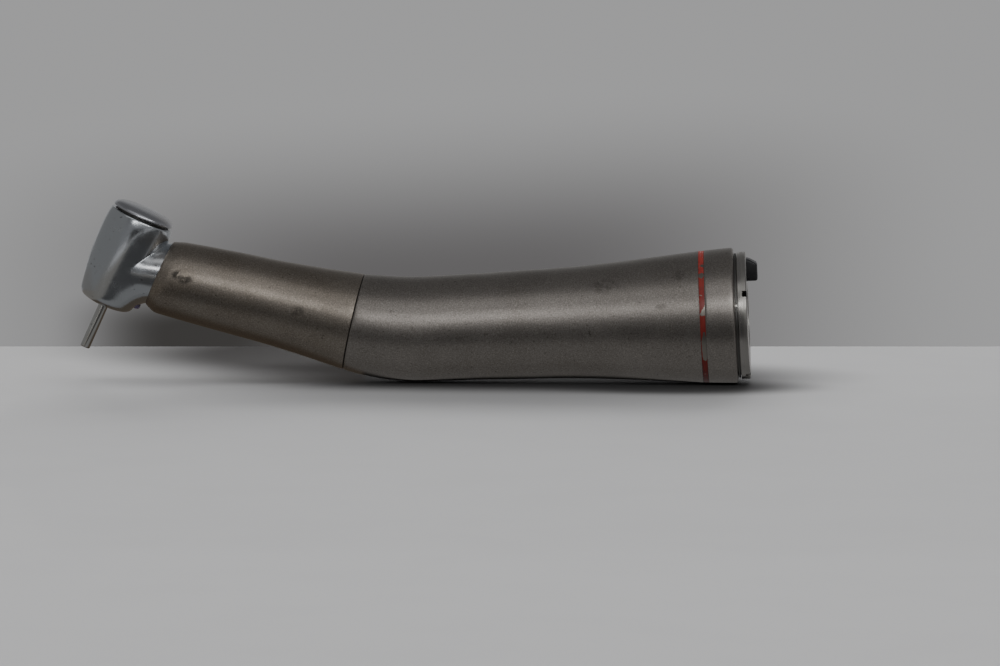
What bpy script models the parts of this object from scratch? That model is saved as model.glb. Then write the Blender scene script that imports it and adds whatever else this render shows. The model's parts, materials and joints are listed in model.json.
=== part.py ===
"""Speed-increasing dental contra-angle handpiece with light, as an assembly of its real pieces.

The object lies along X with the motor end at +X and the head at -X, and Z is up. Lengths and
places are in millimetres until MM turns them into metres. Five empties carry the pieces:
rear_axis, knee (the front shaft's axis), head_axis, window_axis (the light window's, beside the
head's), and handpiece, which holds the other four. In those four Z runs towards the motor end
(or towards the button in the head), X is the upper side of the piece, and heights below are
measured along that Z.
"""

import math

import bmesh
import bpy
from mathutils import Matrix, Vector

MM = 0.001

# Where the centre of the rear face lies above the middle of the object's footprint.
REAR_FACE_X = 52.75
REAR_AXIS_Z = 10.87

# The bent axis: the knee bends it by 16 degrees, and the head leans 27 degrees from upright.
KNEE_X = -57.4
KNEE_ANGLE = math.radians(16)
BEND_RADIUS = 45.0
BEND_LENGTH = BEND_RADIUS * KNEE_ANGLE
BEND_START = -KNEE_X - BEND_RADIUS * math.tan(KNEE_ANGLE / 2)
HEAD_LEAN = math.radians(27)
KNEE_TO_HEAD = 44.4
HEAD_TOP_TO_CROSSING = 8.4
NECK_TO_HEAD_ANGLE = math.radians(79)
FACE_LEAN = math.tan(HEAD_LEAN - KNEE_ANGLE)

# Gears: input ring and knee pinion at the knee, drive gear and spindle pinion in the head.
RING_TEETH, KNEE_TEETH = 30, 12
DRIVE_TEETH, SPINDLE_TEETH = 24, 12
RING_PITCH_RADIUS = 5.0
DRIVE_PITCH_RADIUS = 3.9
PRESSURE_ANGLE = math.radians(25)
BACKLASH = 0.05
RING_CONE = math.atan2(math.sin(KNEE_ANGLE), math.cos(KNEE_ANGLE) - KNEE_TEETH / RING_TEETH)
RING_CONE_DISTANCE = RING_PITCH_RADIUS / math.sin(RING_CONE)
SPINDLE_CONE = math.atan2(
    math.sin(NECK_TO_HEAD_ANGLE), DRIVE_TEETH / SPINDLE_TEETH + math.cos(NECK_TO_HEAD_ANGLE)
)
DRIVE_CONE = NECK_TO_HEAD_ANGLE - SPINDLE_CONE
DRIVE_CONE_DISTANCE = DRIVE_PITCH_RADIUS / math.sin(DRIVE_CONE)

SLEEVE_SIDES = 32
HEAD_SIDES = 32
MIDDLE_SIDES = 24
SMALL_SIDES = 20
RACE_SIDES = 16
BALLS = 7
RUNNING_GAP = 0.05

COLOURS = {
    "blasted_steel": ((0.44, 0.42, 0.40), 0.42, 1.0),
    "polished_steel": ((0.62, 0.63, 0.65), 0.12, 1.0),
    "satin_steel": ((0.55, 0.54, 0.53), 0.30, 1.0),
    "bearing_steel": ((0.50, 0.50, 0.52), 0.20, 1.0),
    "gear_steel": ((0.40, 0.39, 0.38), 0.28, 1.0),
    "red_enamel": ((0.36, 0.04, 0.025), 0.35, 0.0),
    "black_plastic": ((0.012, 0.012, 0.014), 0.45, 0.0),
    "dark_rubber": ((0.02, 0.02, 0.02), 0.7, 0.0),
    "cage_polymer": ((0.30, 0.22, 0.10), 0.5, 0.0),
    "glass_rod": ((0.16, 0.12, 0.20), 0.08, 0.0),
}


# Scene, frames and materials


def clear_scene():
    for obj in list(bpy.data.objects):
        bpy.data.objects.remove(obj, do_unlink=True)


def new_collection(name):
    collection = bpy.data.collections.new(name)
    bpy.context.scene.collection.children.link(collection)
    return collection


def frame(name, parent, origin, z_axis, x_axis):
    """An empty whose Z and X point along the given directions of its parent."""
    empty = bpy.data.objects.new(name, None)
    parts.objects.link(empty)
    z = Vector(z_axis).normalized()
    x = Vector(x_axis).normalized()
    turn = Matrix((x, z.cross(x), z)).transposed().to_4x4()
    empty.matrix_basis = Matrix.Translation(Vector(origin) * MM) @ turn
    empty.parent = parent
    return empty


def material_for(name, finish):
    colour, roughness, metallic = COLOURS[finish]
    material = bpy.data.materials.new(name + "_" + finish)
    material.use_nodes = True
    shader = material.node_tree.nodes["Principled BSDF"]
    shader.inputs["Base Color"].default_value = (*colour, 1)
    shader.inputs["Roughness"].default_value = roughness
    shader.inputs["Metallic"].default_value = metallic
    return material


def add(name, data, holder, finish, offset=0.0):
    """Puts data in the scene as a named piece on the holder's axis, or as a cutter if it has no finish."""
    obj = bpy.data.objects.new(name, data)
    obj.parent = holder
    obj.location = (0, 0, offset * MM)
    if finish:
        parts.objects.link(obj)
        data.materials.append(material_for(name, finish))
    else:
        cutters.objects.link(obj)
        obj.hide_render = True
        obj.display_type = "WIRE"
    return obj


# Shapes


def turned(name, profile, holder, finish, sides=SMALL_SIDES, offset=0.0):
    """Turns (radius, height) points about the holder's Z. The outline closes on the axis or on itself."""
    pairs = zip(profile, profile[1:] + profile[:1])
    if sum(r1 * z2 - r2 * z1 for (r1, z1), (r2, z2) in pairs) > 0:
        profile = profile[::-1]
    mesh = bpy.data.meshes.new(name)
    shape = bmesh.new()
    points = [shape.verts.new((r * MM, 0, z * MM)) for r, z in profile]
    for first, second in zip(points, points[1:]):
        shape.edges.new((first, second))
    if profile[0][0] > 0 or profile[-1][0] > 0:
        shape.edges.new((points[-1], points[0]))
    shape.to_mesh(mesh)
    shape.free()
    obj = add(name, mesh, holder, finish, offset)
    screw = obj.modifiers.new("Turn", "SCREW")
    screw.steps = screw.render_steps = sides
    screw.use_merge_vertices = True
    screw.merge_threshold = 0.000001
    screw.use_smooth_shade = True
    return obj


def arc(centre, radii, start, end, steps):
    """(radius, height) points on an ellipse's arc, from one angle in degrees to another."""
    angles = [math.radians(start + (end - start) * i / steps) for i in range(steps + 1)]
    return [(centre[0] + radii[0] * math.cos(a), centre[1] + radii[1] * math.sin(a)) for a in angles]


def finish_mesh(name, shape, smooth=True):
    bmesh.ops.recalc_face_normals(shape, faces=shape.faces[:])
    mesh = bpy.data.meshes.new(name)
    shape.to_mesh(mesh)
    shape.free()
    if smooth:
        mesh.shade_smooth()
        mesh.set_sharp_from_angle(angle=math.radians(35))
    return mesh


def bent_axis(s):
    """Centre and forward direction of the bent axis, s along it from the rear face."""
    turn = min(max(s - BEND_START, 0), BEND_LENGTH) / BEND_RADIUS
    ahead = max(s - BEND_START - BEND_LENGTH, 0)
    forward = Vector((-math.cos(turn), 0, math.sin(turn)))
    rise = Vector((-math.sin(turn), 0, 1 - math.cos(turn))) * BEND_RADIUS
    return Vector((-min(s, BEND_START), 0, 0)) + rise + forward * ahead, forward


def bent_body(name, stations, holder, finish, hollow=True):
    """Lofts rings (s, radius, rise of the ring's centre, backward lean of its plane) on the bent axis.

    A hollow body goes on from its last ring to its first, and a solid one has its ends closed.
    """
    shape = bmesh.new()
    rings = []
    for s, radius, rise, lean in stations:
        centre, forward = bent_axis(s)
        up = Vector((0, 1, 0)).cross(forward)
        ring = []
        for side in range(SLEEVE_SIDES):
            turn = math.tau * side / SLEEVE_SIDES
            height = rise + radius * math.cos(turn)
            point = centre + up * height - forward * lean * height
            point.y = radius * math.sin(turn)
            ring.append(shape.verts.new(point * MM))
        rings.append(ring)
    for ring, after in zip(rings, rings[1:] + rings[:hollow]):
        for side in range(SLEEVE_SIDES):
            following = (side + 1) % SLEEVE_SIDES
            shape.faces.new((ring[side], after[side], after[following], ring[following]))
    if not hollow:
        shape.faces.new(rings[0])
        shape.faces.new(rings[-1])
    return add(name, finish_mesh(name, shape), holder, finish)


def prism(name, outline, low, high, holder, finish):
    """An outline of (x, z) points, extruded along Y from low to high."""
    shape = bmesh.new()
    face = shape.faces.new([shape.verts.new((x * MM, low * MM, z * MM)) for x, z in outline])
    made = bmesh.ops.extrude_face_region(shape, geom=[face])
    moved = [item for item in made["geom"] if isinstance(item, bmesh.types.BMVert)]
    bmesh.ops.translate(shape, vec=(0, (high - low) * MM, 0), verts=moved)
    return add(name, finish_mesh(name, shape), holder, finish)


def boxes(name, placed, holder):
    """A cutter of several boxes, each (size, centre, turn about Z in degrees)."""
    shape = bmesh.new()
    for size, centre, turn in placed:
        place = Matrix.Rotation(math.radians(turn), 4, "Z") @ Matrix.Translation(Vector(centre) * MM)
        scale = Matrix.Diagonal((*(length * MM for length in size), 1))
        bmesh.ops.create_cube(shape, size=1, matrix=place @ scale)
    return add(name, finish_mesh(name, shape, smooth=False), holder, None)


def rods(name, placed, holder, sides=10):
    """A cutter of several cylinders along Z, each (radius, low, high, x, y)."""
    shape = bmesh.new()
    for radius, low, high, x, y in placed:
        place = Matrix.Translation(Vector((x, y, (low + high) / 2)) * MM)
        bmesh.ops.create_cone(
            shape,
            cap_ends=True,
            segments=sides,
            radius1=radius * MM,
            radius2=radius * MM,
            depth=(high - low) * MM,
            matrix=place,
        )
    return add(name, finish_mesh(name, shape, smooth=False), holder, None)


def wire(name, points, radius, holder, finish, sharpness=1):
    """A round wire through the points, as a mesh with its ends closed."""
    curve = bpy.data.curves.new(name + "_line", "CURVE")
    curve.dimensions = "3D"
    curve.bevel_depth = radius * MM
    curve.bevel_resolution = sharpness
    curve.use_fill_caps = True
    spline = curve.splines.new("POLY")
    spline.points.add(len(points) - 1)
    for point, place in zip(spline.points, points):
        point.co = (*(Vector(place) * MM), 1)
    line = bpy.data.objects.new(name + "_line", curve)
    bpy.context.scene.collection.objects.link(line)
    graph = bpy.context.evaluated_depsgraph_get()
    mesh = bpy.data.meshes.new_from_object(line.evaluated_get(graph))
    bpy.data.objects.remove(line, do_unlink=True)
    shape = bmesh.new()
    shape.from_mesh(mesh)
    bmesh.ops.remove_doubles(shape, verts=shape.verts[:], dist=0.000001)
    return add(name, finish_mesh(name, shape), holder, finish)


def change(obj, cutter, operation="DIFFERENCE"):
    cut = obj.modifiers.new(cutter.name, "BOOLEAN")
    cut.operation = operation
    cut.solver = "EXACT"
    cut.object = cutter


def smooth_path(knots, steps):
    """Points on a Catmull-Rom curve through tuples of numbers, steps of them between each two knots."""
    knots = [Vector(knot) for knot in knots]
    padded = [knots[0] * 2 - knots[1], *knots, knots[-1] * 2 - knots[-2]]
    points = []
    for a, b, c, d in zip(padded, padded[1:], padded[2:], padded[3:]):
        for step in range(steps):
            t = step / steps
            points.append(
                b + (c - a) * (t / 2) + (a * 2 - b * 5 + c * 4 - d) * (t * t / 2)
                + (b * 3 - a - c * 3 + d) * (t * t * t / 2)
            )
    return points + [knots[-1]]


def along_body(knots, steps=3):
    """A path beside the bent axis, from knots of (s, distance off the axis, degrees round from the top)."""
    path = []
    for s, distance, degrees in smooth_path(knots, steps):
        centre, forward = bent_axis(s)
        up = Vector((0, 1, 0)).cross(forward)
        turn = math.radians(degrees)
        path.append(centre + up * distance * math.cos(turn) - Vector((0, distance * math.sin(turn), 0)))
    return path


# Gears and bearings


def involute(angle):
    return math.tan(angle) - angle


def bevel_gear(name, holder, offset, teeth, cone, distance, width, rings, phase=0.0, inside=False):
    """A straight bevel gear whose apex is at the offset.

    Each lobe, a tooth or on an inside gear the space between two, is an involute on the back
    cone, scaled towards the apex. rings are (radius, height) circles of the body, from the
    small end of the teeth round to the large end.
    """
    back = distance * math.tan(cone)
    module = 2 * distance * math.sin(cone) / teeth
    base = back * math.cos(PRESSURE_ANGLE)
    heights = (-0.8, 0.15, 1.0) if inside else (-1.0, 0.0, 0.8)
    middle = math.pi * math.cos(cone) / (2 * teeth)
    middle += (BACKLASH if inside else -BACKLASH) / (2 * back)
    flank = []
    for height in heights:
        reach = back + height * module
        slope = math.acos(min(base / reach, 1))
        flank.append((reach, (middle + involute(PRESSURE_ANGLE) - involute(slope)) / math.cos(cone)))
    lobe = [(reach, -angle) for reach, angle in flank] + [(reach, angle) for reach, angle in flank[::-1]]
    shape = bmesh.new()

    def at(radius, turn, height):
        return shape.verts.new(
            (radius * math.cos(turn) * MM, radius * math.sin(turn) * MM, height * MM)
        )

    def outline(scale):
        return [
            [
                at(
                    reach * math.cos(cone) * scale,
                    phase + math.tau * tooth / teeth + angle,
                    (distance / math.cos(cone) - reach * math.sin(cone)) * scale,
                )
                for reach, angle in lobe
            ]
            for tooth in range(teeth)
        ]

    def fan(lobes, circle):
        for tooth in range(teeth):
            following = (tooth + 1) % teeth
            for first, second in zip(lobes[tooth], lobes[tooth][1:]):
                shape.faces.new((circle[tooth], first, second))
            shape.faces.new((circle[tooth], lobes[tooth][-1], lobes[following][0], circle[following]))

    def bridge(first, second):
        for side in range(len(first)):
            following = (side + 1) % len(first)
            shape.faces.new((first[side], second[side], second[following], first[following]))

    small, large = outline(1 - width / distance), outline(1)
    bridge([point for group in small for point in group], [point for group in large for point in group])
    circles = [
        [at(radius, phase + math.tau * tooth / teeth, height) for tooth in range(teeth)]
        for radius, height in rings
    ]
    fan(small, circles[0])
    for first, second in zip(circles, circles[1:]):
        bridge(first, second)
    fan(large, circles[-1])
    return add(name, finish_mesh(name, shape, smooth=False), holder, "gear_steel", offset)


def ball_bearing(prefix, holder, low, size):
    """An outer race, an inner race, and a cage with its balls, standing low on the holder's axis."""
    bore, inner, middle, outer, rim, ball, width = size
    groove_in = middle - ball - RUNNING_GAP
    groove_out = middle + ball + 2 * RUNNING_GAP
    half = width / 2
    turned(
        prefix + "_outer_race",
        [(outer, 0), (groove_out, half), (outer, width), (rim, width), (rim, 0)],
        holder, "bearing_steel", RACE_SIDES, low,
    )
    turned(
        prefix + "_inner_race",
        [(bore, 0), (bore, width), (inner, width), (groove_in, half), (inner, 0)],
        holder, "bearing_steel", RACE_SIDES, low,
    )
    web = 0.12
    cage = turned(
        prefix + "_ball_cage",
        [(middle - web, half - ball * 1.25), (middle - web, half + ball * 0.3),
         (middle + web, half + ball * 0.3), (middle + web, half - ball * 1.25)],
        holder, "cage_polymer", 2 * BALLS, low,
    )
    shape = bmesh.new()
    for index in range(BALLS):
        place = Matrix.Rotation(math.tau * index / BALLS, 4, "Z")
        place @= Matrix.Translation((middle * MM, 0, half * MM))
        bmesh.ops.create_uvsphere(shape, u_segments=6, v_segments=4, radius=ball * MM, matrix=place)
    row = add(prefix + "_balls", finish_mesh(prefix + "_balls", shape), holder, None, low)
    change(cage, row, "UNION")


# bore, inner shoulder, ball circle, outer shoulder, rim radius, ball radius, width
LARGE_BEARING = (1.59, 1.98, 2.38, 2.78, 3.175, 0.48, 2.38)
SMALL_BEARING = (1.04, 1.44, 1.79, 2.14, 2.5, 0.4, 2.3)


# Outer casing

# s, radius: the grip sleeve's waisted outline from the rear rim to the seam.
SLEEVE_OUTLINE = [
    (2.0, 10.55), (2.35, 10.87), (6.6, 10.6), (6.6, 10.32), (7.6, 10.26), (7.6, 10.53),
    (11.7, 10.15), (18.1, 9.6), (24.5, 9.1), (30.1, 8.83), (36.5, 8.69), (42.9, 8.5),
    (49.3, 8.4), (53.5, 8.4), (57.2, 8.3), (60.4, 8.1), (62.9, 7.85), (63.15, 7.72),
]
SLEEVE_BORE = [
    (63.15, 6.95), (57.2, 7.3), (50.0, 7.42), (36.5, 7.7), (24.5, 8.1), (7.5, 9.2), (7.5, 9.62), (2.0, 9.62),
]
SEAM_FRONT = 63.35
# s, radius, rise, lean: the neck sleeve from the seam to its slanted front face.
NECK_OUTLINE = [
    (SEAM_FRONT, 7.68, 0, 0), (63.6, 7.8, 0, 0), (69.2, 7.3, 0, 0), (75.9, 6.8, 0, 0),
    (82.4, 6.6, 0, 0), (89.2, 6.3, 0, 0.4 * FACE_LEAN), (93.7, 6.03, 0, 0.95 * FACE_LEAN),
    (95.42, 5.3, 0.3, FACE_LEAN),
]
NECK_BORE = [
    (95.42, 4.62, 0.42, FACE_LEAN), (93.0, 5.0, 0.1, FACE_LEAN), (89.2, 5.4, 0, 0.4 * FACE_LEAN),
    (82.4, 5.7, 0, 0), (69.2, 6.45, 0, 0), (SEAM_FRONT, 6.8, 0, 0),
]


def casing():
    stations = [(s, radius, 0, 0) for s, radius in SLEEVE_OUTLINE + SLEEVE_BORE]
    bent_body("grip_sleeve", stations, handpiece, "blasted_steel")
    bent_body("neck_sleeve", NECK_OUTLINE + NECK_BORE, handpiece, "blasted_steel")
    seam = [(63.2, 7.6, 0, 0), (63.3, 7.6, 0, 0), (63.3, 7.0, 0, 0), (63.2, 7.0, 0, 0)]
    bent_body("seam_gasket", seam, handpiece, "dark_rubber")
    turned(
        "colour_band",
        [(10.36, -6.65), (10.57, -6.65), (10.53, -7.55), (10.33, -7.55)],
        rear_axis, "red_enamel", SLEEVE_SIDES,
    )


# Motor end


def motor_end():
    ring = turned(
        "rear_ring",
        [(5.35, 0), (9.95, 0), (10.17, -0.15), (10.12, -1.45), (9.45, -1.47), (9.45, -6.0), (5.35, -6.0)],
        rear_axis, "satin_steel", SLEEVE_SIDES,
    )
    notches = [((1.5, 1.0, 1.5), (10.3, 0, 0), 65 + 90 * quarter) for quarter in range(4)]
    change(ring, boxes("spanner_notches", notches, rear_axis))
    change(ring, boxes("inlet_pocket", [((3.95, 4.2, 6.0), (7.2, 0, -1.0), 0)], rear_axis))
    change(ring, light_channel)
    snap = turned(
        "snap_ring",
        [(9.5, -1.88), (9.5, -1.6), (9.95, -1.6), (9.95, -1.88)],
        rear_axis, "satin_steel", SLEEVE_SIDES,
    )
    change(snap, boxes("snap_gap", [((1.5, 0.5, 1.0), (9.7, 0, -1.7), 75)], rear_axis))
    turned(
        "coupling_tube",
        [(4.6, -0.4), (5.3, -0.4), (5.3, -23.9), (4.6, -23.9), (4.6, -12.0), (4.72, -11.7), (4.72, -10.3),
         (4.6, -10.0)],
        rear_axis, "satin_steel", MIDDLE_SIDES,
    )
    stub = prism(
        "light_inlet",
        [(-3.9, 5.6), (1.73, 5.6), (1.73, 8.3), (0.35, 9.1), (-3.9, 9.1)],
        -2.0, 2.0, handpiece, "black_plastic",
    )
    edges = stub.modifiers.new("Rounded edges", "BEVEL")
    edges.width = 0.2 * MM
    edges.segments = 1


# Light, air and water lines

LIGHT_ROUTE = [
    (4.1, 7.2, 0), (12.0, 7.2, 0), (24.0, 7.0, 0), (38.0, 6.72, 0), (50.0, 6.66, 0), (57.0, 6.4, 6),
    (63.0, 5.9, 25), (69.5, 5.2, 60), (76.0, 4.4, 110), (82.5, 4.1, 160), (89.0, 3.8, 180),
    (93.0, 3.66, 180), (96.6, 3.66, 180),
]
LIGHT_RADIUS = 0.4
# Either side of the underside: the air line on one side and the water line on the other.
LINE_ROUTE = [
    (13.0, 7.4, 145), (24.0, 7.0, 145), (38.0, 6.72, 145), (50.0, 6.66, 145), (57.0, 6.45, 142),
    (63.0, 6.1, 140), (69.5, 5.75, 140), (76.0, 5.45, 140), (82.5, 5.2, 140), (89.0, 4.5, 143),
    (93.0, 3.85, 145), (96.6, 3.85, 145),
]
LINE_RADIUS = 0.35
CHANNEL_GAP = 0.12


def line_route(side):
    return along_body([(s, distance, side * degrees) for s, distance, degrees in LINE_ROUTE], 2)


def lines():
    wire("light_guide", along_body(LIGHT_ROUTE, 2), LIGHT_RADIUS, handpiece, "glass_rod")
    wire("air_tube", line_route(1), LINE_RADIUS, handpiece, "satin_steel")
    wire("water_tube", line_route(-1), LINE_RADIUS, handpiece, "satin_steel")


# Rear shaft


def rear_drive():
    carrier = turned(
        "rear_bearing_carrier",
        [(3.22, -24.6), (7.95, -24.6), (7.9, -26.0), (4.0, -26.0), (4.0, -40.6), (7.45, -40.6), (7.4, -42.0),
         (4.0, -42.0), (4.0, -42.8), (3.22, -42.8)],
        rear_axis, "satin_steel", MIDDLE_SIDES,
    )
    change(carrier, light_channel)
    change(carrier, air_channel)
    change(carrier, water_channel)
    for prefix, low in (("input_rear", -27.6), ("input_front", -42.5)):
        ball_bearing(prefix, rear_axis, low, LARGE_BEARING)
    shaft = turned(
        "input_shaft",
        [(0, -20.6), (2.3, -20.6), (2.3, -24.4), (1.56, -24.4), (1.56, -45.5), (1.3, -45.75), (0, -45.75)],
        rear_axis, "gear_steel", SMALL_SIDES,
    )
    change(shaft, boxes("fork_slot", [((6, 1.3, 3.0), (0, 0, -21.3), 0)], rear_axis))
    rings = [(5.85, 7.9), (5.85, 13.4), (1.6, 13.4), (1.6, 11.8), (5.2, 11.8), (5.45, 11.3)]
    bevel_gear(
        "ring_gear", rear_axis, KNEE_X, RING_TEETH, RING_CONE, RING_CONE_DISTANCE, 2.5, rings, inside=True
    )


# Front shaft


def front_drive():
    housing = turned(
        "knee_housing",
        [(2.53, 6.3), (3.4, 6.3), (3.4, -7.6), (6.6, -7.6), (6.55, -9.0), (3.4, -9.0), (3.1, -9.6),
         (3.1, -16.0), (1.6, -16.0), (1.6, -15.0), (2.53, -15.0)],
        knee, "satin_steel", MIDDLE_SIDES,
    )
    tube = turned(
        "front_bearing_tube",
        [(1.6, -31.0), (5.2, -31.0), (5.15, -32.2), (3.1, -32.2), (3.1, -39.6), (2.53, -39.6), (2.53, -32.2),
         (1.6, -32.2)],
        knee, "satin_steel", MIDDLE_SIDES,
    )
    for piece in (housing, tube):
        for channel in (light_channel, air_channel, water_channel):
            change(piece, channel)
    ball_bearing("knee", knee, 3.7, SMALL_BEARING)
    ball_bearing("neck", knee, -39.2, SMALL_BEARING)
    turned(
        "front_shaft",
        [(0, 11.5), (0.9, 11.5), (1.0, 11.4), (1.0, -42.0), (0, -42.0)],
        knee, "gear_steel", SMALL_SIDES,
    )
    rings = [(1.2, 8.8), (1.04, 8.8), (1.04, 11.35), (1.45, 11.35)]
    bevel_gear("knee_pinion", knee, 0, KNEE_TEETH, RING_CONE - KNEE_ANGLE, RING_CONE_DISTANCE, 2.5, rings)
    rings = [(2.2, 2.38), (1.04, 2.38), (1.04, 4.1), (2.4, 4.1), (3.2, 3.7)]
    bevel_gear(
        "head_drive_gear", knee, -KNEE_TO_HEAD, DRIVE_TEETH, DRIVE_CONE, DRIVE_CONE_DISTANCE, 1.0, rings
    )
    rings = [(1.22, 3.5), (1.09, 3.5), (1.09, 4.65), (1.45, 4.65)]
    half_tooth = math.pi / SPINDLE_TEETH
    bevel_gear(
        "spindle_pinion", head_axis, -HEAD_TOP_TO_CROSSING, SPINDLE_TEETH, SPINDLE_CONE, DRIVE_CONE_DISTANCE,
        1.0, rings, half_tooth,
    )


# Head: heights are along the head axis, down from the barrel's top edge at 0.

# s, radius, rise, lean: the collar from the neck sleeve's slanted face into the barrel.
COLLAR = [(95.5, 5.0, 0.4, FACE_LEAN), (96.6, 5.05, 0.2, FACE_LEAN), (99.5, 5.05, 0, 0), (101.5, 5.05, 0, 0)]


def head():
    barrel = turned(
        "head_housing",
        [(0, 0), (5.05, 0), *arc((4.9, -1.5), (0.6, 1.5), 75, 0, 3), (5.5, -6.4), (5.2, -9.9), (4.8, -12.8),
         (4.5, -14.2), (3.85, -14.9), (3.0, -15.25), (0, -15.25)],
        head_axis, "polished_steel", HEAD_SIDES,
    )
    change(barrel, bent_body("head_collar", COLLAR, handpiece, None, hollow=False), "UNION")
    change(barrel, turned(
        "head_cavity",
        [(0, 1.0), (4.55, 1.0), (4.55, -1.1), (3.23, -1.1), (3.23, -14.75), (1.35, -14.75), (1.35, -16.0),
         (0, -16.0)],
        head_axis, None, HEAD_SIDES,
    ))
    change(barrel, turned(
        "neck_bore", [(0, -37.0), (4.25, -37.0), (4.25, -42.9), (0, -42.9)], knee, None, HEAD_SIDES,
    ))
    outlets = [(0.84, -16.0, -11.9, 4.75, 0)]
    outlets += [(0.3, -14.0, -10.9, 5.25, side * 2.3) for side in (-1, 1)]
    change(barrel, rods("light_and_spray_outlets", outlets, head_axis, 12))
    turned(
        "light_window",
        [(0, -11.95), (0.72, -11.95), (0.74, -13.5), (0.5, -13.8), (0, -13.9)],
        window_axis, "glass_rod", 16,
    )
    turned(
        "bearing_cap",
        [(1.2, -0.4), (3.85, -0.4), (3.85, 0.35), (4.2, 0.35), (4.2, -0.06), (4.48, -0.06), (4.48, -1.0),
         (3.15, -1.0), (3.15, -1.12), (2.85, -1.12), (2.85, -1.0), (1.2, -1.0)],
        head_axis, "satin_steel", MIDDLE_SIDES,
    )
    for prefix, low in (("upper_head", -3.58), ("lower_head", -14.68)):
        ball_bearing(prefix, head_axis, low, LARGE_BEARING)
    turned(
        "push_button",
        [(0, 1.85), (2.4, 1.74), (3.7, 1.53), (4.4, 1.28), (4.85, 0.98), (5.05, 0.7), (5.05, 0.45),
         (4.45, 0.45), (4.4, 0.8), (3.6, 1.08), (0.8, 1.3), (0.6, 1.1), (0.6, -0.6), (0, -0.6)],
        head_axis, "polished_steel", HEAD_SIDES,
    )
    low, rise, steps = -0.2, 1.15, 30
    spring = []
    for step in range(steps + 1):
        turn = 2.5 * math.tau * step / steps
        spring.append((2.4 * math.cos(turn), 2.4 * math.sin(turn), low + rise * step / steps))
    wire("button_spring", spring, 0.14, head_axis, "bearing_steel")
    turned(
        "spindle",
        [(0, -1.2), (1.56, -1.2), (1.56, -3.62), (1.05, -3.62), (1.05, -11.9), (1.56, -12.1), (1.56, -14.7),
         (1.25, -14.7), (1.25, -15.15), (1.22, -15.15), (1.22, -12.3), (0.88, -12.1), (0.88, -6.2), (0, -6.2)],
        head_axis, "gear_steel", SMALL_SIDES,
    )
    collet = turned(
        "chuck_collet",
        [(0.84, -12.5), (1.17, -12.5), (1.17, -14.9), (1.0, -15.1), (0.84, -15.1)],
        head_axis, "bearing_steel", SMALL_SIDES,
    )
    slits = [((1.4, 0.16, 2.2), (1.0, 0, -14.6), 30 + 120 * third) for third in range(3)]
    change(collet, boxes("collet_slits", slits, head_axis))
    turned(
        "bur_shank",
        [(0, -6.5), (0.7, -6.5), (0.8, -6.6), (0.8, -22.6), (0.6, -22.8), (0, -22.8)],
        head_axis, "polished_steel", SMALL_SIDES,
    )


clear_scene()
parts = new_collection("contra_angle_handpiece")
cutters = new_collection("cutters")

handpiece = frame("handpiece", None, (REAR_FACE_X, 0, REAR_AXIS_Z), (0, 0, 1), (1, 0, 0))
rear_axis = frame("rear_axis", handpiece, (0, 0, 0), (1, 0, 0), (0, 0, 1))
neck_back = (math.cos(KNEE_ANGLE), 0, -math.sin(KNEE_ANGLE))
knee = frame("knee", handpiece, (KNEE_X, 0, 0), neck_back, (math.sin(KNEE_ANGLE), 0, math.cos(KNEE_ANGLE)))
head_up = Vector((math.sin(HEAD_LEAN), 0, math.cos(HEAD_LEAN)))
head_back = Vector((math.cos(HEAD_LEAN), 0, -math.sin(HEAD_LEAN)))
crossing = Vector((KNEE_X, 0, 0)) - Vector(neck_back) * KNEE_TO_HEAD
head_top = crossing + head_up * HEAD_TOP_TO_CROSSING
head_axis = frame("head_axis", handpiece, head_top, head_up, head_back)
window_axis = frame("window_axis", handpiece, head_top + head_back * 4.75, head_up, head_back)

light_channel = wire("light_channel", along_body(LIGHT_ROUTE, 2), LIGHT_RADIUS + CHANNEL_GAP, handpiece, None)
air_channel = wire("air_channel", line_route(1), LINE_RADIUS + CHANNEL_GAP, handpiece, None)
water_channel = wire("water_channel", line_route(-1), LINE_RADIUS + CHANNEL_GAP, handpiece, None)

casing()
motor_end()
lines()
rear_drive()
front_drive()
head()
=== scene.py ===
import json
import math

import bpy
from mathutils import Matrix, Vector


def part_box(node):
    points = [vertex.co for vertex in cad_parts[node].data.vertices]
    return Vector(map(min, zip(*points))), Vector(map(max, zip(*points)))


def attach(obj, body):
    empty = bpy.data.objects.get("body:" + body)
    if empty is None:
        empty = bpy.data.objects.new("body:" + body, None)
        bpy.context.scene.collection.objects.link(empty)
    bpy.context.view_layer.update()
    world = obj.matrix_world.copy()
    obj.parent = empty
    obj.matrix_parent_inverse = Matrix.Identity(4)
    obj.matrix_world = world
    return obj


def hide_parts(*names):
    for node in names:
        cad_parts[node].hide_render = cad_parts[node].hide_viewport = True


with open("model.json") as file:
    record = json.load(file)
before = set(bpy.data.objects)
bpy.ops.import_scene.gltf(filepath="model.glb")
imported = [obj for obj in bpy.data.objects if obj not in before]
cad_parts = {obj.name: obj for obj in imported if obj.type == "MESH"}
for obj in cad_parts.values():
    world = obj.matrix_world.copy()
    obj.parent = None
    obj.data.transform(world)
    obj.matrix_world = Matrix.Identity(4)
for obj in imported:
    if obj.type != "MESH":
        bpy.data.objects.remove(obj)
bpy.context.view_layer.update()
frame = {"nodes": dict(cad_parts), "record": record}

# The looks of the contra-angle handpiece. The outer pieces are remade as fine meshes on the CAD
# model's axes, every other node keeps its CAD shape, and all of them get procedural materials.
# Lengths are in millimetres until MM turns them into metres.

MM = 0.001
ROUND_SIDES = 192
SMALL_SIDES = 64
CORNER_POINTS = 5
SHARP_ANGLE = 40
JOINTS = {joint["name"]: joint for joint in frame["record"]["behaviour"]["joints"]}


# Axes, from the joints of the CAD model


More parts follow.
